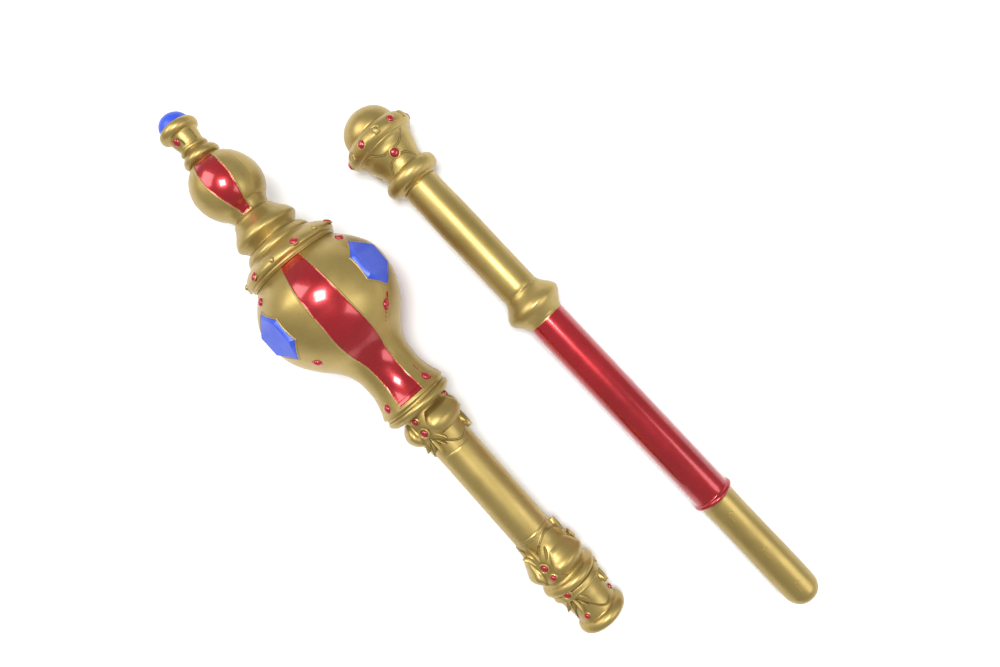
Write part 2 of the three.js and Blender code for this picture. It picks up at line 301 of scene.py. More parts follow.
def paint_film_group():
    """Sprayed paint: Tone drifts slowly and has fine flecks, Peel is a fine orange peel, and
    Gloss is slightly uneven."""
    group = bpy.data.node_groups.new("PaintFilm", "ShaderNodeTree")
    group.interface.new_socket("Place", in_out="INPUT", socket_type="NodeSocketVector")
    for name in ("Tone", "Peel", "Gloss"):
        group.interface.new_socket(name, in_out="OUTPUT", socket_type="NodeSocketFloat")
    made = Nodes(group)
    where = made.add("NodeGroupInput").outputs["Place"]
    out = made.add("NodeGroupOutput")
    drift = made.ramp(made.noise(where, DRIFT_SCALE, 3.0), 0.3, 0.7, -DRIFT, DRIFT)
    flecks = made.ramp(made.noise(where, FLECK_SCALE, 1.0), 0.35, 0.7, -FLECKS, FLECKS)
    gloss = made.ramp(made.noise(where, GLOSS_SCALE), 0.3, 0.7, -UNEVEN_GLOSS, UNEVEN_GLOSS)
    made.feed(out.inputs["Tone"], made.maths("ADD", drift, flecks))
    made.feed(out.inputs["Peel"], made.noise(where, PEEL_SCALE, 2.0, 0.6))
    made.feed(out.inputs["Gloss"], gloss)
    return group


# The film's noises, per metre, and how far they move tone and gloss.
DRIFT_SCALE, FLECK_SCALE, PEEL_SCALE, GLOSS_SCALE = 22.0, 2600.0, 420.0, 95.0
DRIFT, FLECKS, UNEVEN_GLOSS = 0.3, 0.25, 0.03

GOLD_DEEP = (0.365, 0.262, 0.080, 1)
GOLD_BRIGHT = (0.475, 0.352, 0.120, 1)
RED_DEEP = (0.300, 0.003, 0.008, 1)
RED_BRIGHT = (0.420, 0.005, 0.012, 1)
BLUE_DEEP = (0.018, 0.060, 0.500, 1)
BLUE_BRIGHT = (0.024, 0.080, 0.620, 1)
# The engraved lines are darkened with painted shade of this colour; LINE_SHADE sets how strongly.
LINE_SHADE_COLOUR = (0.12, 0.06, 0.012, 1)
SEAM_COLOUR = (0.16, 0.09, 0.02, 1)
LINE_SHADE, SEAM_SHADE = 0.75, 0.35

GOLD_METAL, RED_METAL, BLUE_METAL = 0.82, 0.55, 0.0
GOLD_ROUGH, RED_ROUGH, BLUE_ROUGH = 0.41, 0.26, 0.42
GOLD_COAT, RED_COAT = 0.10, 0.9
COAT_ROUGH = 0.12

# In millimetres: how a paint's edge wanders and how soft it is; the middle of each of two
# engraved lines from the mark between them; where lines and seams begin to fade and end; and
# how high each effect stands or how deep it is cut.
EDGE_WANDER, EDGE_SOFT, WANDER_SCALE = 0.22, 0.10, 900.0
LINE_OFF, LINE_CORE, LINE_EDGE = 0.55, 0.10, 0.38
SEAM_CORE, SEAM_EDGE = 0.08, 0.34
PEEL_HEIGHT, GEM_PEEL = 0.035, 0.04
LINE_DEPTH, SEAM_HEIGHT, PAINT_HEIGHT = 0.28, 0.10, 0.05


def sprayed_material(name):
    """A material with the paint film in it: itself, its nodes and shader, the film, and a tone
    from 0 to 1."""
    material = bpy.data.materials.new(name)
    material.use_nodes = True
    made = Nodes(material.node_tree)
    shader = material.node_tree.nodes["Principled BSDF"]
    shader.inputs["Coat Roughness"].default_value = COAT_ROUGH
    film = made.add("ShaderNodeGroup", node_tree=FILM)
    made.feed(film.inputs["Place"], made.add("ShaderNodeTexCoord").outputs["Object"])
    tone = made.maths("ADD", film.outputs["Tone"], 0.5, clamp=True)
    return material, made, shader, film, tone


def raise_surface(made, shader, height):
    """Bump from a height in millimetres."""
    bump = made.add("ShaderNodeBump")
    bump.inputs["Distance"].default_value = MILLIMETRE
    made.feed(bump.inputs["Height"], height)
    made.feed(shader.inputs["Normal"], bump.outputs["Normal"])


def moulding_material():
    """Gold paint with red and blue over it where their marks are above nought, engraved double
    lines at the etch mark with painted shade in them, and a faint ridge at the seam mark."""
    material, made, shader, film, tone = sprayed_material("painted_moulding")

    def mark(name):
        return made.add("ShaderNodeAttribute", attribute_name=name).outputs["Fac"]

    def near(distance, core, edge):
        return made.ramp(made.maths("ABSOLUTE", distance), core, edge, 1.0, 0.0)

    where = made.add("ShaderNodeTexCoord").outputs["Object"]
    noise = made.noise(where, WANDER_SCALE)
    wander = made.ramp(noise, 0.25, 0.75, -EDGE_WANDER, EDGE_WANDER)
    red = made.ramp(made.maths("ADD", mark("red"), wander), -EDGE_SOFT, EDGE_SOFT)
    blue = made.ramp(made.maths("ADD", mark("blue"), wander), -EDGE_SOFT, EDGE_SOFT)
    line = near(made.maths("SUBTRACT", mark("etch"), LINE_OFF), LINE_CORE, LINE_EDGE)
    seam = near(mark("seam"), SEAM_CORE, SEAM_EDGE)

    colour = made.blend(tone, GOLD_DEEP, GOLD_BRIGHT)
    # Painted shade darkens the engraved lines.
    colour = made.blend(made.maths("MULTIPLY", line, LINE_SHADE), colour, LINE_SHADE_COLOUR)
    colour = made.blend(made.maths("MULTIPLY", seam, SEAM_SHADE), colour, SEAM_COLOUR)
    colour = made.blend(blue, colour, made.blend(tone, BLUE_DEEP, BLUE_BRIGHT))
    colour = made.blend(red, colour, made.blend(tone, RED_DEEP, RED_BRIGHT))
    made.feed(shader.inputs["Base Color"], colour)
    metal = made.mix(blue, made.mix(red, GOLD_METAL, RED_METAL), BLUE_METAL)
    made.feed(shader.inputs["Metallic"], metal)
    rough = made.mix(blue, made.mix(red, GOLD_ROUGH, RED_ROUGH), BLUE_ROUGH)
    made.feed(shader.inputs["Roughness"], made.maths("ADD", rough, film.outputs["Gloss"]))
    made.feed(shader.inputs["Coat Weight"], made.mix(red, GOLD_COAT, RED_COAT))

    painted = made.maths("MAXIMUM", red, blue)
    height = made.maths("MULTIPLY", film.outputs["Peel"], PEEL_HEIGHT)
    height = made.maths("SUBTRACT", height, made.maths("MULTIPLY", line, LINE_DEPTH))
    height = made.maths("ADD", height, made.maths("MULTIPLY", seam, SEAM_HEIGHT))
    height = made.maths("ADD", height, made.maths("MULTIPLY", painted, PAINT_HEIGHT))
    raise_surface(made, shader, height)
    return material


def gem_material(name, deep, bright, metal, rough, coat):
    """One colour of gem paint."""
    material, made, shader, film, tone = sprayed_material(name)
    made.feed(shader.inputs["Base Color"], made.blend(tone, deep, bright))
    made.feed(shader.inputs["Roughness"], made.maths("ADD", film.outputs["Gloss"], rough))
    shader.inputs["Metallic"].default_value = metal
    shader.inputs["Coat Weight"].default_value = coat
    raise_surface(made, shader, made.maths("MULTIPLY", film.outputs["Peel"], GEM_PEEL))
    return material


FILM = paint_film_group()
GOLD = moulding_material()
RED_GEM = gem_material("red_gem", RED_DEEP, RED_BRIGHT, metal=0.3, rough=0.24, coat=0.9)
BLUE_GEM = gem_material("blue_gem", BLUE_DEEP, BLUE_BRIGHT, metal=0.0, rough=0.40, coat=0.25)


# ---- Small forms that stand on a body ----


def stand_on(lay, station, radius, meridian, slope, along, across, up):
    """Points given along the axis, across it and up from spots on a half, in metres. Each spot
    has its station, radius and meridian, and its own slope of the surface, in degrees."""
    lean = np.radians(slope)
    turn = np.radians(meridian)
    x = station + along * np.cos(lean) + up * np.sin(lean)
    z = radius - along * np.sin(lean) + up * np.cos(lean)
    y = across
    far = np.hypot(y, z)
    return place(lay, x, far, np.degrees(np.arctan2(y, z) + turn))


def spots(rows):
    """Columns of a table of spots, shaped to spread over each spot's own grid."""
    return np.array(rows, float).T[..., None, None]


GEM_ROUNDING = 0.8  # under 1 makes a dome squarer than a quarter circle
GEM_SUNK = -0.9  # how far a gem goes on below its girdle, as a share of its height


def round_gems(name, lay, rows, material, node):
    """Round domes. Each row gives station, radius, meridian, slope, the dome's own radius and
    its height; its section is a quarter of a rounded square, and it starts below the surface."""
    station, radius, meridian, slope, wide, high = spots(rows)
    turn = np.radians(np.linspace(0, 90, 12))[:, None]
    spin = np.linspace(0, 2 * math.pi, 28, endpoint=False)[::-1]
    out = np.concatenate([[[1.0]], np.abs(np.cos(turn)) ** GEM_ROUNDING]) * wide
    up = np.concatenate([[[GEM_SUNK]], np.sin(turn)]) * high
    along, across = out * np.cos(spin), out * np.sin(spin)
    points = stand_on(lay, station, radius, meridian, slope, along, across, up)
    gem_piece(name, points, material, node)


def rims(name, lay, rows, node):
    """Round raised rims. Each row gives station, radius, meridian, slope, the rim's radius along
    the axis, its radius across, and its thickness; the section is a circle half sunk."""
    station, radius, meridian, slope, long, wide, thick = spots(rows)
    spin = np.linspace(0, 2 * math.pi, 40, endpoint=False)[::-1]
    section = np.radians(np.linspace(0, 360, 12, endpoint=False))[:, None]
    along = (long + thick * np.cos(section)) * np.cos(spin)
    across = (wide + thick * np.cos(section)) * np.sin(spin)
    up = thick * np.sin(section)
    rim_piece(name, stand_on(lay, station, radius, meridian, slope, along, across, up), node)


# ---- The head moulding ----

BALL_CENTRE, BALL_RADIUS = 58.2, 23.75
BALL_PANEL, PEAR_PANEL = 3.6, 5.2
RIDGE_HEIGHT, RIDGE_WIDTH = 0.5, 0.42


def ridge(inside):
    """Height of a panel's raised border: a bell curve over the distance from it."""
    return RIDGE_HEIGHT * np.exp(-((inside / RIDGE_WIDTH) ** 2))


BORDER_GOLD = 0.32  # how much of a panel's border stays gold inside its middle line
EVEN = np.linspace(-180, 180, 180, endpoint=False)
FINIAL_GEM = 19.9, -32


def finial():
    """Blue dome, round collar, small cup with a thin ring under it, and the flared rim."""
    outline = np.concatenate([
        dome(8.8, 10.5),
        bead(12.6, 13.6, 3.8, -74, 76),
        curve([[16.5, 10.5], [17.4, 10.2], [20.6, 9.5], [24.6, 8.8], [25.5, 8.9]]),
        bead(27.1, 9.95, 1.5, -75, 75, 0.25),
        curve([[28.8, 9.0], [29.5, 9.5], [31, 11.3], [32.6, 12.5], [34.4, 12.9], [35.9, 12.3],
               [36.6, 11.5]], 0.3),
    ])
    station, radius = outline[:, :1], outline[:, 1:]
    cup_from, cup_to, arc_station, arc_radius, line_shift = 17.6, 25, 21, 8.4, 0.25
    arcs = [
        np.abs(round_distance(station, EVEN, radius, arc_station, meridian) - arc_radius)
        for meridian in (-62, -2)
    ]
    in_cup = (station > cup_from) & (station < cup_to)
    red_halo, blue_end = 2.1, 8.75
    marks = {
        "blue": blue_end - station,
        "red": red_halo - round_distance(station, EVEN, radius, *FINIAL_GEM),
        "etch": np.where(in_cup, np.minimum(*arcs) + line_shift, FAR),
    }
    turned_piece("finial", HEAD_LAY, outline, EVEN, "head", 0.0, marks)


def ball():
    """A sphere with three red panels, wide at the top and narrow at the neck, each with a thin
    raised border."""
    turn = np.degrees(np.arcsin((np.array([37.0, 74.8]) - BALL_CENTRE) / BALL_RADIUS))
    outline = np.concatenate([
        [[36.2, 9.0], [36.6, 10.9]],
        bead(BALL_CENTRE, BALL_RADIUS, BALL_RADIUS, turn[0], turn[1], 0.5),
        curve([[75.4, 16.1], [77.4, 14.7], [79.4, 13.8], [81.2, 13.25], [82.4, 13.2]]),
    ])
    station, radius = outline.T
    half_mm = curve_at([
        [36, 4.0], [38, 5.9], [41, 7.0], [45, 7.8], [50, 8.4], [54, 8.7], [60, 8.3], [65, 7.4],
        [70, 6.0], [75, 4.4], [82, 3.2],
    ], station)
    half = np.degrees(np.arcsin(np.clip(half_mm / np.maximum(radius, 9.5), 0, 0.9)))
    meridians, inside = panel_meridians(BALL_PANEL, half, radius)
    panel_from, panel_to, full_border = 37.2, 81.4, 40.0
    inside = np.minimum(inside, np.minimum(station - panel_from, panel_to - station)[:, None])
    relief = ridge(inside) * smooth_step(37.0, full_border, station)[:, None]
    seam = seam_mark(meridians, radius[:, None], HEAD_SEAM)
    marks = {"red": inside - BORDER_GOLD, "seam": seam}
    turned_piece("ball", HEAD_LAY, outline, meridians, "head", relief, marks)


def collars():
    """Barrel, rounded step, and the broad ring that carries twelve gems."""
    outline = np.concatenate([
        [[81.0, 9.0], [81.4, 12.4]],
        curve([[81.6, 13.3], [82.2, 14.0], [83.2, 15.0], [85.2, 16.1], [87.2, 17.5], [89.2, 19.1],
               [91.2, 20.8], [93.2, 22.0], [95.2, 22.9], [96.4, 23.0], [97.4, 22.6], [99.2, 21.0],
               [101.2, 19.4], [102.6, 18.7]], 0.35),
        curve([[102.8, 18.9], [103.2, 19.9], [104.2, 21.6], [106, 23.1], [107.6, 24.0],
               [108.6, 24.2], [109.4, 24.0]], 0.3),
        curve([[109.6, 24.6], [110.6, 26.2], [113.0, 30.4], [115.0, 32.6], [117.0, 34.2],
               [118.8, 35.0], [120.2, 34.8], [121.2, 33.9], [121.6, 33.1]], 0.3),
        curve([[121.8, 33.0], [122.4, 33.3], [123.2, 33.0], [123.8, 32.1], [124.3, 31.0],
               [124.5, 27.0]], 0.25),
    ])
    marks = {"seam": seam_mark(EVEN, outline[:, 1:], HEAD_SEAM)}
    turned_piece("collars", HEAD_LAY, outline, EVEN, "head", 0.0, marks)


PEAR_KNOTS = [
    [124.2, 31.3], [130.2, 37.0], [138, 43.2], [146, 47.1], [153.8, 48.2], [162.4, 47.5],
    [172.4, 45.1], [182.4, 39.9], [190.4, 33.6], [197.4, 27.2], [203.6, 23.2], [210.4, 20.8],
    [217.6, 20.0], [226, 20.2], [233.5, 22.0], [238.4, 23.9], [240.6, 25.2],
]
# Half the width of a pear panel, in millimetres, along the pear.
PANEL_MM = [
    [124, 7.4], [131, 8.4], [139, 9.5], [154, 10.8], [169, 11.4], [184, 12.0], [194, 11.2],
    [204, 9.0], [214, 8.2], [224, 8.3], [232, 9.0], [240, 9.7],
]
PANEL_END = 239.6
# Stations and meridians that each run of red paint passes, and its radius where it starts.
DRIPS = [
    ([183.0, 190.0, 196.0], [49.0, 44.0, 40.0], 0.9),
    ([225.0, 231.0, 235.4], [51.5, 51.0, 51.0], 0.7),
    ([178.5, 183.0], [55.0, 50.0], 1.3),
]


def drip_mark(station, meridian, radius):
    """Distance inside runs of red paint, each a chain of round blobs that thins along its way."""
    inside = np.full(np.broadcast_shapes(station.shape, meridian.shape), -FAR)
    blobs, thinning = 14, 0.75
    for stations, meridians, wide in DRIPS:
        knots = range(len(stations))
        for share in np.linspace(0, 1, blobs):
            at = share * knots[-1]
            spot = np.interp(at, knots, stations), np.interp(at, knots, meridians)
            blob = wide * (1 - thinning * share)
            blob = blob - round_distance(station, meridian, radius, *spot)
            inside = np.maximum(inside, blob)
    return inside


def pear():
    """The belly and its neck, with three long red panels whose raised borders follow the
    swelling, and two rings at the foot."""
    outline = np.concatenate([
        [[123.6, 27.0]],
        curve(PEAR_KNOTS, 0.5)[:-8],
        curve([[236.6, 23.1], [238.4, 23.9], [239.8, 24.7], [240.8, 25.2], [241.6, 25.2],
               [242.1, 24.6]], 0.25),
        curve([[242.4, 24.0], [243.2, 23.7], [244.0, 24.0]], 0.25),
        bead(246.9, 25.1, 2.6, -78, 80, 0.3),
        [[250.0, 22.9], [250.5, 22.2], [250.5, 21.0]],
    ])
    station, radius = outline.T
    half = np.degrees(np.arcsin(np.clip(curve_at(PANEL_MM, station) / radius, 0, 0.8)))
    foot, gem_halo = 241, 3.15
    half[station > foot] = half[np.searchsorted(station, foot) - 1]
    meridians, inside = panel_meridians(PEAR_PANEL, half, radius)
    inside = np.minimum(inside, (PANEL_END - station)[:, None])
    relief = ridge(inside) * (1 - smooth_step(240.4, 240.9, station))[:, None]
    station, radius = station[:, None], radius[:, None]
    red = np.maximum(inside - BORDER_GOLD, drip_mark(station, meridians, radius))
    for gem in BODY_GEMS:
        halo = gem_halo - round_distance(station, meridians, radius, gem[0], gem[2])
        red = np.maximum(red, halo)
    marks = {"red": red, "seam": seam_mark(meridians, radius, HEAD_SEAM)}
    turned_piece("pear", HEAD_LAY, outline, meridians, "head", relief, marks)


def pear_radius(station):
    """Radius of the pear at a station."""
    return curve_at(PEAR_KNOTS, station)


HEX_MIDDLE, HEX_LONG, HEX_SHOULDER, HEX_HALF = 155.8, 18.2, 8.2, 13.6
HEX_TABLE, HEX_TIP = 48.5, 46.9
HEX_MERIDIANS = [59.6, -49.4, 182.0]


def hexagon(spin):
    """The outline of a long hexagon at each turn: its reach along the axis and across it."""
    corners = np.array([
        [HEX_LONG, 0], [HEX_SHOULDER, HEX_HALF], [-HEX_SHOULDER, HEX_HALF],
        [-HEX_LONG, 0], [-HEX_SHOULDER, -HEX_HALF], [HEX_SHOULDER, -HEX_HALF], [HEX_LONG, 0],
    ])
    sides = spin * 6
    along = np.interp(sides, range(7), corners[:, 0])
    across = np.interp(sides, range(7), corners[:, 1])
    return along, across


def hex_spin():
    """Turns from 0 to 1, six sides of equal share, closer together beside each corner."""
    side = np.array([0, 0.012, 0.03, 0.07, 0.15, 0.3, 0.5, 0.7, 0.85, 0.93, 0.97, 0.988])
    return np.concatenate([(k + side) / 6 for k in range(6)])


def on_pear(x, y, height, meridian):
    """Points of a long gem: x along the axis, y across it and height above the axis."""
    turn = np.degrees(np.arctan2(y, height)) + meridian
    return place(HEAD_LAY, HEX_MIDDLE + x, np.hypot(y, height), turn)


def hex_girdle(x, y):
    """Height of the pear's surface above the axis at x along it and y across it."""
    return np.sqrt(np.maximum(pear_radius(HEX_MIDDLE + x) ** 2 - y**2, 0))


def hex_gems():
    """Long six-sided gems. The table is flat across, falls towards both pointed ends, and a
    narrow bevel drops from it to the girdle on the belly. The rows are shrunk outlines."""
    along, across = hexagon(hex_spin()[::-1])
    bevel = [1.0, 1.0, 0.995, 0.97, 0.94, 0.905, 0.88]
    table_edge = 0.865
    flat = [0.85, 0.8, 0.7, 0.5, 0.3, 0.15, 0.001]
    shares = np.array([*bevel, table_edge, *flat])[:, None]
    girdle_lift, extra_fall, sunk = 0.35, 1.6, 3.0
    x, y = shares * along, shares * across
    girdle = hex_girdle(x, y) + girdle_lift
    towards_tip = smooth_step(HEX_SHOULDER * 0.8, HEX_LONG, np.abs(x))
    table = HEX_TABLE - towards_tip * (HEX_TABLE - HEX_TIP + extra_fall)
    share = np.clip((1 - shares) / (1 - table_edge), 0, 1)
    height = girdle + (np.maximum(table, girdle) - girdle) * share
    height[0] -= sunk
    for number, meridian in enumerate(HEX_MERIDIANS):
        points = on_pear(x, y, height, meridian)[None]
        gem_piece(f"hex_gem_{number}", points, BLUE_GEM, "head")


def hex_rims():
    """A thin raised line round each long gem: a round section carried along its outline."""
    along, across = hexagon(hex_spin()[::-1])
    section = np.radians(np.linspace(0, 360, 10, endpoint=False))[:, None]
    out, half_wide, half_high, lift = 0.5, 0.42, 0.55, 0.1
    grow = 1 + (out + half_wide * np.cos(section)) / HEX_HALF
    x, y = along * grow, across * grow
    height = hex_girdle(x, y) + lift + half_high * np.sin(section)
    rings = np.array([on_pear(x, y, height, meridian) for meridian in HEX_MERIDIANS])
    rim_piece("hex_rims", rings, "head")


# Station, radius, meridian, slope, width and height of each round gem of the belly.
GEM_ROWS = [
    (131.6, -40, (64, -49.5, 183)), (183.4, 35, (49.5, -43.8, 183)), (235.4, -16, (51, -44.5, 183)),
]
BODY_GEMS = [
    [at, float(pear_radius(np.array([at]))[0]) - 0.1, meridian, slope, 2.75, 1.7]
    for at, slope, meridians in GEM_ROWS
    for meridian in meridians
]
RING_STATION, RING_SLOPE = 117.3, -46
RING_RED, RING_PLAIN = 22, -8


def head_gems():
    """Gems and plain studs by turns on the broad ring, and the gems of cup and belly."""
    reds = [RING_RED + GEM_PITCH * k for k in range(6)]
    plains = [RING_PLAIN + GEM_PITCH * k for k in range(6)]
    ring = [[RING_STATION, 34.3, turn, RING_SLOPE, 2.95, 1.7] for turn in reds]
    plain = [[RING_STATION, 34.3, turn, RING_SLOPE, 2.0, 1.3] for turn in plains]
    edges = [[RING_STATION, 34.25, turn, RING_SLOPE, 3.25, 3.25, 0.45] for turn in reds]
    cup = [[FINIAL_GEM[0], 9.5, FINIAL_GEM[1], 12, 2.5, 1.1]]
    round_gems("head_gems", HEAD_LAY, ring + BODY_GEMS + cup, RED_GEM, "head")
    round_gems("head_studs", HEAD_LAY, plain, GOLD, "head")
    rims("head_rims", HEAD_LAY, edges, "head")


# ---- The grip moulding ----

GRIP_TUBE = 14.7
SOCKET_RADIUS, SOCKET_END, GRIP_END = 13.4, 343.7, 447.7


def from_flower(meridian):
    """Degrees from the nearest of the three lines that carry the flowers."""
    return np.abs((meridian - FLOWER + PITCH / 2) % PITCH - PITCH / 2)


PUFF = 3.4  # millimetres inside a border over which a shield swells
SHIELD_RADIUS = 20.0  # radius at which widths round the shields are measured
EDGE_STEP = 0.35  # half the width of the step at a scalloped edge
CUFF_LINE = 0.75  # the engraved double line's distance from that edge


def lobed(floor, lobe, inside):
    """Radius of a body with puffed shields: the floor between them, rising over the first
    millimetres inside a shield's border to its own outline along a quarter of a circle."""
    puff = np.sqrt(1 - (1 - np.clip(inside / PUFF, 0, 1)) ** 2)
    return floor + np.maximum(lobe - floor, 0) * puff


def shield_half(station, middle, length):
    """Half the angle that a shield takes up: widest at its middle, narrower at both ends."""
    return np.clip(43.5 - 13.0 * ((station - middle) / length) ** 2, 22, 60)


def shield_grid(half):
    """Meridians and distances inside the border of three shields between the flower lines."""
    return panel_meridians(FLOWER + PITCH / 2, half, np.full(len(half), SHIELD_RADIUS))


def grip_crown():
    """Three puffed shields under the head, then a cuff that ends in a scalloped double line."""
    station = np.concatenate([[250.8], between(250.85, 272, 0.35), between(272.25, 285.6, 0.28)])
    floor = curve_at([
        [250.8, 16.1], [253.6, 16.8], [258, 17.6], [264, 18.0], [268, 17.8], [271.4, 17.2],
        [275, 16.4], [282.8, 15.75], [285.6, 15.7],
    ], station)
    lobe = curve_at([
        [250.8, 14], [252.6, 16.6], [254, 18.2], [256, 20.4], [258, 21.7], [260.4, 22.6],
        [263, 22.9], [265.4, 22.3], [268, 20.9], [270, 19.2], [271.2, 17.4], [272, 15],
        [285.6, 10],
    ], station)
    meridians, inside = shield_grid(shield_half(station, 262.0, 9.4))
    at = station[:, None]
    radius = lobed(floor[:, None], lobe[:, None], inside)
    edge = 283.0 - 7.0 * ((PITCH / 2 - from_flower(meridians)) / 37.5) ** 1.6
    past = smooth_step(-EDGE_STEP, EDGE_STEP, at - edge)
    radius = radius * (1 - past) + np.minimum(radius, GRIP_TUBE) * past
    cuff_from = 271.5
    marks = {"etch": np.where(at > cuff_from, np.abs(at - edge + CUFF_LINE), FAR)}
    outline = np.column_stack([station, np.zeros(len(station))])
    turned_piece("grip_crown", HEAD_LAY, outline, meridians, "grip", radius, marks)


def grip_tube():
    """Plain tube with one engraved ring near its lower end."""
    groove = 14.5
    outline = np.concatenate([
        [[284.6, 12.0]],
        curve([[284.8, GRIP_TUBE], [300, GRIP_TUBE - 0.05], [330, GRIP_TUBE + 0.05],
               [363.0, GRIP_TUBE]], 2.5),
        [[363.6, GRIP_TUBE], [363.85, groove], [364.1, groove], [364.35, GRIP_TUBE]],
        [[367.6, GRIP_TUBE], [367.8, 12.0]],
    ])
    marks = {"seam": seam_mark(EVEN, outline[:, 1:], GRIP_SEAM)}
    turned_piece("grip_tube", HEAD_LAY, outline, EVEN, "grip", 0.0, marks)


def grip_foot():
    """Scalloped cuff, three puffed shields, a round ring, a stepped goblet and the end ring
    round the socket, whose bore runs back inside."""
    station = np.concatenate([between(366.4, 379, 0.3), between(379.3, 401.2, 0.35)])
    floor = curve_at([
        [366.4, 15.5], [371, 15.7], [376, 16.2], [380, 17.2], [386, 18.2], [392, 18.4],
        [397, 17.9], [401.2, 17.0],
    ], station)
    lobe = curve_at([
        [366.4, 10], [378.2, 14], [379.6, 17.2], [381, 18.6], [384, 20.0], [387, 21.2],
        [390, 22.7], [391.8, 23.0], [394, 22.4], [396.6, 20.9], [399, 19.0], [400.6, 17.4],
        [401.2, 16],
    ], station)
    outline = np.concatenate([
        np.column_stack([station, floor]),
        bead(406.4, 21.5, 3.9, -68, 80, 0.35),
        [[410.3, 17.8], [410.45, 18.6], [410.7, 19.3]],
        curve([[411.0, 19.5], [413.4, 19.5], [415.6, 19.2], [416.0, 18.6]], 0.4),
        curve([[416.2, 17.9], [419, 17.4], [423, 16.9], [428, 16.2], [434, 15.8], [436.4, 15.7],
               [437.6, 15.6], [438.4, 15.6]], 0.3),
        bead(443.1, 18.9, 4.6, -76, 90, 0.35),
        [[GRIP_END, 14.0], [GRIP_END - 0.2, SOCKET_RADIUS], [GRIP_END - 1.2, SOCKET_RADIUS]],
        curve([[GRIP_END - 6, SOCKET_RADIUS], [SOCKET_END + 0.6, SOCKET_RADIUS]][::-1], 6)[::-1],
        [[SOCKET_END, SOCKET_RADIUS - 0.2], [SOCKET_END, 6.0]],
    ])
    every, radius = outline.T
    lobes = len(station)
    half = np.empty(len(every))
    half[:lobes] = shield_half(station, 390.6, 10.0)
    half[lobes:] = half[lobes - 1]
    meridians, inside = shield_grid(half)
    raised = np.zeros_like(inside)
    raised[:lobes] = lobed(floor[:, None], lobe[:, None], inside[:lobes]) - floor[:, None]
    from_shield = PITCH / 2 - from_flower(meridians)
    at = every[:, None]
    cuff_to, goblet_from, goblet_to, goblet_tube = 379, 417, 438.3, 15.2
    cuff = 367.4 + 7.0 * (from_shield / 49.5) ** 1.6
    before = (1 - smooth_step(-EDGE_STEP, EDGE_STEP, at - cuff)) * (at < cuff_to)
    raised -= before * np.maximum(radius[:, None] - GRIP_TUBE, 0)
    outer = (np.arange(len(every)) < np.argmax(every > goblet_to))[:, None]
    goblet = (at > goblet_from) & outer
    skirt = 436.2 - 11.8 * (from_shield / 39.5) ** 1.8
    past = smooth_step(-0.3, 0.3, at - skirt) * goblet
    raised -= past * np.maximum(radius[:, None] - goblet_tube, 0)
    etch = np.where(at < cuff_to, np.abs(at - cuff - CUFF_LINE), FAR)
    etch = np.where(goblet, np.abs(at - skirt + CUFF_LINE), etch)
    turned_piece("grip_foot", HEAD_LAY, outline, meridians, "grip", raised, {"etch": etch})


LEAF_ROWS, LEAF_COLUMNS = 26, 13
LEAF_ROOT, LEAF_DEEP = 1.6, 3.0  # how far a leaf's edge and its underside lie in the body


def leaves(name, rows, node):
    """Raised leaves. Each row gives the station, radius and meridian of the root, the angle
    from the axis, how far the leaf bends, its length, width and height, and how far its tip
    curls up. The midrib is an arc, the width swells and closes, and the section is a low arch
    with a crease along the rib."""
    station, radius, meridian, angle, bend, long, wide, high, curl = spots(rows)
    u = np.linspace(0, 1, LEAF_ROWS)[:, None]
    v = np.linspace(-1, 1, LEAF_COLUMNS)
    heading = np.radians(angle + bend * u)
    step = long / (LEAF_ROWS - 1)
    rib_x = np.cumsum(np.cos(heading) * step, axis=1) - np.cos(heading[:, :1]) * step
    rib_y = np.cumsum(np.sin(heading) * step, axis=1) - np.sin(heading[:, :1]) * step
    swell = np.sin(math.pi * np.clip(u, 0.02, 0.98) ** 0.8) ** 0.7 + 0.05
    x = station + rib_x - np.sin(heading) * wide / 2 * swell * v
    y = rib_y + np.cos(heading) * wide / 2 * swell * v
    arch = (1 - np.abs(v) ** 2.2) * (0.75 + 0.25 * (1 - np.abs(v)) ** 2)
    body = 0.25 + 0.75 * np.sin(math.pi * np.clip(u * 0.85 + 0.08, 0, 1)) ** 0.6
    rise = high * body + curl * u**4
    turn = np.degrees(y / radius) + meridian
    top = place(HEAD_LAY, x, radius - LEAF_ROOT + (LEAF_ROOT + rise) * arch, turn)
    raised_strip(name, top, place(HEAD_LAY, x, radius - LEAF_DEEP, turn), node)


# Station and radius of each fan of leaves, and which way along the axis it points; then of
# each gem in a collet; then of each gem set low, with its own turn from the flower's line.
FANS = [(264.4, 17.0, 1), (386.4, 16.8, -1), (411.6, 17.2, 1)]
COLLET_GEMS = [(263.3, 19.6), (386.2, 19.4), (410.4, 19.7)]
LOW_GEMS = [(254.1, 18.1, -1.5), (395.2, 19.3, 2.5), (433.2, 15.7, -6.0)]
COLLET_TURN = 1.5


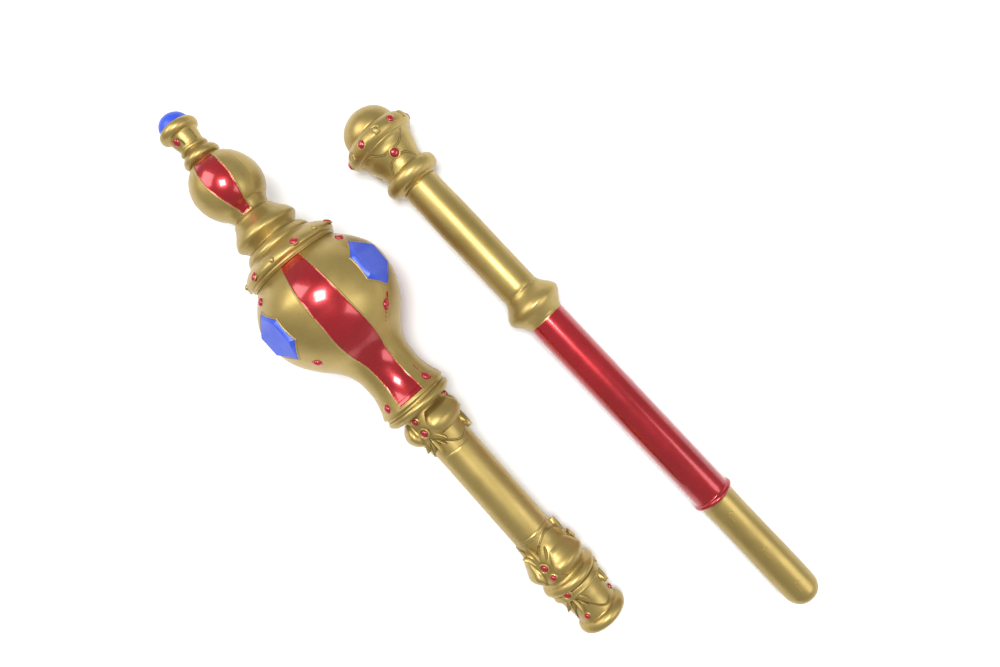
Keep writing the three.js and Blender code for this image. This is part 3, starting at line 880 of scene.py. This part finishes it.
def flowers():
    """At each of three lines: leaves that fan towards the tube, and gems in raised collets."""
    rows, gem_rows, rim_rows, plates = [], [], [], []
    for line in FLOWER + PITCH * np.arange(3):
        for at, radius, ahead in FANS:
            way = 0 if ahead > 0 else 180
            rows.append([at + 4.2 * ahead, radius, line, way, 0, 13.5, 4.0, 1.5, 0.3])
            for side in (-1, 1):
                turn = side * ahead
                curled = [way + turn * 58, -turn * 46, 12.0, 4.6, 1.5, 1.9]
                small = [way + turn * 16, turn * 24, 8.5, 3.0, 1.0, 0.6]
                rows.append([at + 2.4 * ahead, radius, line + side * 9, *curled])
                rows.append([at + 7.0 * ahead, radius - 0.3, line + side * 8, *small])
        for at, radius in COLLET_GEMS:
            gem_rows.append([at, radius, line + COLLET_TURN, 0, 2.35, 1.25])
            rim_rows.append([at, radius, line + COLLET_TURN, 0, 3.4, 3.1, 0.85])
            plates.append([at, radius - 1.9, line + COLLET_TURN, 0, 3.6, 1.9])
        for at, radius, turn in LOW_GEMS:
            gem_rows.append([at, radius, line + turn, 0, 2.2, 1.4])
            plates.append([at, radius - 1.6, line + turn, 0, 3.3, 1.7])
    leaves("grip_leaves", rows, "grip")
    round_gems("grip_gems", HEAD_LAY, gem_rows, RED_GEM, "grip")
    round_gems("grip_collets", HEAD_LAY, plates, GOLD, "grip")
    rims("grip_rims", HEAD_LAY, rim_rows, "grip")


# ---- The staff moulding ----

STAFF_TUBE, RED_TUBE, STUB = 13.9, 14.1, 13.0
RED_FROM, RED_TO = 193.9, 368.0
CUP_GEM, CUP_TURN = 42.3, 4
BAND_RED, BAND_STUD = -26, 4.5
FINE = np.linspace(-180, 180, 300, endpoint=False)


def cup_lines(station, meridian):
    """Distance to the engraved double lines of the cup: from each of its three gems two arcs
    curve up to the band, and two curve down to the ring."""
    off = (meridian - CUP_TURN + PITCH / 2) % PITCH - PITCH / 2
    cup_radius, dots = 18.0, 60
    across = np.radians(off) * cup_radius
    near = np.full(np.broadcast_shapes(station.shape, meridian.shape), FAR)
    arcs = [((39.4, 3.0), (32.8, 12.5), 2.0), ((45.4, 3.2), (52.0, 13.0), -2.0)]
    for start, end, bulge in arcs:
        for side in (-1, 1):
            for share in np.linspace(0, 1, dots):
                x = start[0] + (end[0] - start[0]) * share
                y = start[1] + (end[1] - start[1]) * share
                sag = 4 * bulge * share * (1 - share)
                near = np.minimum(near, np.hypot(station - x - sag, across - side * y))
    return near


def pommel():
    """Dome, gem band, cup with engraved arcs and the round ring under it."""
    outline = np.concatenate([
        dome(17.3, 20.1, 44),
        [[17.6, 20.0], [17.75, 20.3]],
        curve([[17.9, 20.7], [19.2, 22.7], [21.2, 24.8], [23.2, 25.9], [25.2, 26.6],
               [26.4, 26.7], [27.4, 26.4], [29.2, 25.3], [30.8, 23.7]], 0.4),
        [[31.0, 23.1], [31.3, 22.8], [31.6, 22.9]],
        curve([[31.8, 22.7], [33.4, 21.2], [35.2, 20.4], [38.2, 19.6], [41.2, 18.4],
               [45.2, 16.8], [49.2, 15.9], [52.4, 15.9]], 0.35),
        bead(58.2, 21.0, 6.0, -66, 78, 0.4),
        curve([[64.3, 15.4], [65.0, 14.0], [65.6, 13.4], [66.0, 12.0]], 0.3),
    ])
    station, radius = outline[:, :1], outline[:, 1:]
    cup_from, cup_to = 31.9, 52.3
    in_cup = (station > cup_from) & (station < cup_to)
    marks = {
        "seam": seam_mark(FINE, radius, STAFF_SEAM),
        "etch": np.where(in_cup, cup_lines(station, FINE), FAR),
    }
    turned_piece("pommel", STAFF_LAY, outline, FINE, "staff", 0.0, marks)


def staff_tube():
    """Gold tube, swelling collar, red tube, flange and the bare gold stub with its round end."""
    outline = np.concatenate([
        [[64.6, 12.0]],
        curve([[64.8, 13.5], [84, 13.6], [92, 13.85], [130, 13.9], [166.8, STAFF_TUBE]], 3.0),
        curve([[167.2, 13.7], [167.6, 13.7], [168, 14.1], [170, 14.8], [173, 16.8], [175.2, 18.6],
               [177.2, 20.1], [179.2, 21.1], [180.8, 21.5], [182.4, 21.2], [184.4, 20.2],
               [187.2, 18.0], [189.4, 16.4], [191.4, 15.0], [192.6, 14.5]], 0.5),
        curve([[192.9, 14.1], [193.3, 14.0], [193.7, RED_TUBE]], 0.25),
        curve([[194.4, RED_TUBE], [280, RED_TUBE + 0.05], [362.8, RED_TUBE]], 3.0),
        curve([[363.6, 14.2], [364.2, 15.2], [364.9, 15.7], [366.2, 15.7], [366.9, 15.0],
               [367.3, 13.4]], 0.2),
        curve([[367.8, STUB + 0.1], [372, STUB], [440, STUB + 0.1], [455, STUB + 0.05]], 3.0),
        curve([[456, 13.0], [459, 12.7], [461.4, 11.9], [463.4, 10.8], [465, 9.2], [466.2, 7.2],
               [467, 4.6], [467.3, 2.0]], 0.4),
        [[467.35, 0.4]],
    ])
    station, radius = outline[:, :1], outline[:, 1:]
    marks = {
        "red": np.minimum(station - RED_FROM, RED_TO - station),
        "seam": seam_mark(EVEN, radius, STAFF_SEAM),
    }
    turned_piece("staff_tube", STAFF_LAY, outline, EVEN, "staff", 0.0, marks)


def ribs(name, rows):
    """Low moulded ribs on the stub. Each row gives the station and meridian of the middle, and
    the length along the axis and across it; the section is a flat-topped bar with soft edges."""
    station, meridian, long, wide = spots(rows)
    u = np.array([-1, -0.98, -0.9, 0, 0.9, 0.98, 1])[:, None]
    v = np.array([-1, -0.8, -0.4, 0, 0.4, 0.8, 1])
    high, edge, deep = 0.62, -0.5, -2.0
    height = np.where((np.abs(u) == 1) | (np.abs(v) == 1), edge, high)
    at = station + long / 2 * u
    turn = np.degrees(wide / 2 * v / STUB) + meridian
    top = place(STAFF_LAY, at, STUB + height, turn)
    raised_strip(name, top, place(STAFF_LAY, at, STUB + deep, turn), "staff")


def pommel_studs():
    """Six-sided gold studs with a sunk face, between the red gems of the band."""
    station, radius, meridian, slope = spots(
        [[24.6, 25.9, BAND_STUD + GEM_PITCH * k, -14] for k in range(6)]
    )
    spin = np.linspace(0, 2 * math.pi, 36, endpoint=False)[::-1]
    sixth, half_side = math.pi / 3, math.pi / 6
    side = math.cos(half_side) / np.cos((spin + half_side) % sixth - half_side)
    out = np.array([3.75, 3.6, 3.45, 3.1, 2.7, 2.4, 2.0, 1.2, 0.01])[:, None]
    up = np.array([-0.8, 0.35, 0.75, 0.95, 0.85, 0.5, 0.75, 1.1, 1.2])[:, None]
    along, across = out * side * np.cos(spin), out * side * np.sin(spin)
    points = stand_on(STAFF_LAY, station, radius, meridian, slope, along, across, up)
    gem_piece("pommel_studs", points, GOLD, "staff")


def staff_gems():
    """Red gems of the band and the cup, each in its rim."""
    band_turns = [BAND_RED + GEM_PITCH * k for k in range(6)]
    cup_turns = [CUP_TURN + PITCH * k for k in range(3)]
    band = [[24.8, 26.1, turn, -12, 2.75, 1.7] for turn in band_turns]
    cup = [[CUP_GEM, 18.0, turn, 20, 2.9, 1.5] for turn in cup_turns]
    round_gems("staff_gems", STAFF_LAY, band + cup, RED_GEM, "staff")
    rims_of_cup = [[CUP_GEM, 17.9, turn, 20, 3.6, 3.6, 0.7] for turn in cup_turns]
    rims_of_band = [[24.8, 26.0, turn, -12, 3.05, 3.05, 0.4] for turn in band_turns]
    rims("staff_rims", STAFF_LAY, rims_of_cup + rims_of_band, "staff")


# Station and meridian of each L-shaped tick on the stub.
TICKS = [(379.4, -13.0), (414.4, -13.0), (446.8, -11.0)]


def stub_ticks():
    """Two ribs for each tick: one along the axis, and a short one across it."""
    along = [[at + 3.4, turn, 6.8, 0.9] for at, turn in TICKS]
    across = [[at, turn + 9, 0.9, 4.6] for at, turn in TICKS]
    ribs("stub_ribs", along + across)


# ---- The whole object ----

finial()
ball()
collars()
pear()
hex_gems()
hex_rims()
head_gems()
grip_crown()
grip_tube()
grip_foot()
flowers()
pommel()
staff_tube()
pommel_studs()
staff_gems()
stub_ticks()


# ---- Floor, light and camera ----


def studio():
    """A plain pale floor, a soft white surround, and three broad soft lights."""
    reach = 6
    corners = [(-reach, -reach, 0), (reach, -reach, 0), (reach, reach, 0), (-reach, reach, 0)]
    mesh = bpy.data.meshes.new("floor")
    mesh.from_pydata(corners, [], [(0, 1, 2, 3)])
    floor = bpy.data.objects.new("floor", mesh)
    bpy.context.scene.collection.objects.link(floor)
    material = bpy.data.materials.new("floor")
    material.use_nodes = True
    shader = material.node_tree.nodes["Principled BSDF"]
    shader.inputs["Base Color"].default_value = (0.93, 0.93, 0.93, 1)
    shader.inputs["Roughness"].default_value = 0.9
    mesh.materials.append(material)

    world = bpy.data.worlds.new("surround")
    bpy.context.scene.world = world
    world.use_nodes = True
    backdrop = world.node_tree.nodes["Background"]
    backdrop.inputs["Color"].default_value = (1, 1, 1, 1)
    backdrop.inputs["Strength"].default_value = 0.42

    # Name, place and side in metres, and power in watts.
    lights = [
        ("key", (-0.10, 0.05, 1.5), 0.42, 16),
        ("left", (-1.0, -0.6, 1.1), 0.9, 12),
        ("right", (1.0, 0.9, 1.1), 0.9, 8),
    ]
    for name, where, size, power in lights:
        light = bpy.data.lights.new(name, "AREA")
        light.size = size
        light.energy = power
        lamp = bpy.data.objects.new(name, light)
        bpy.context.scene.collection.objects.link(lamp)
        lamp.location = where
        aim = -np.array(where)
        aim /= np.linalg.norm(aim)
        lamp.rotation_euler = (math.acos(-aim[2]), 0, math.atan2(aim[0], -aim[1]) + math.pi)


def camera():
    """Looks straight down from a little over half a metre."""
    lens = bpy.data.cameras.new("camera")
    lens.lens = 27.0
    lens.sensor_width = 36.0
    seen = bpy.data.objects.new("camera", lens)
    bpy.context.scene.collection.objects.link(seen)
    seen.location = (-0.01986, 0.03115, 0.547)
    seen.rotation_euler = (0, 0, math.radians(49.45))
    bpy.context.scene.camera = seen


studio()
camera()
bpy.context.scene.view_settings.view_transform = "Standard"
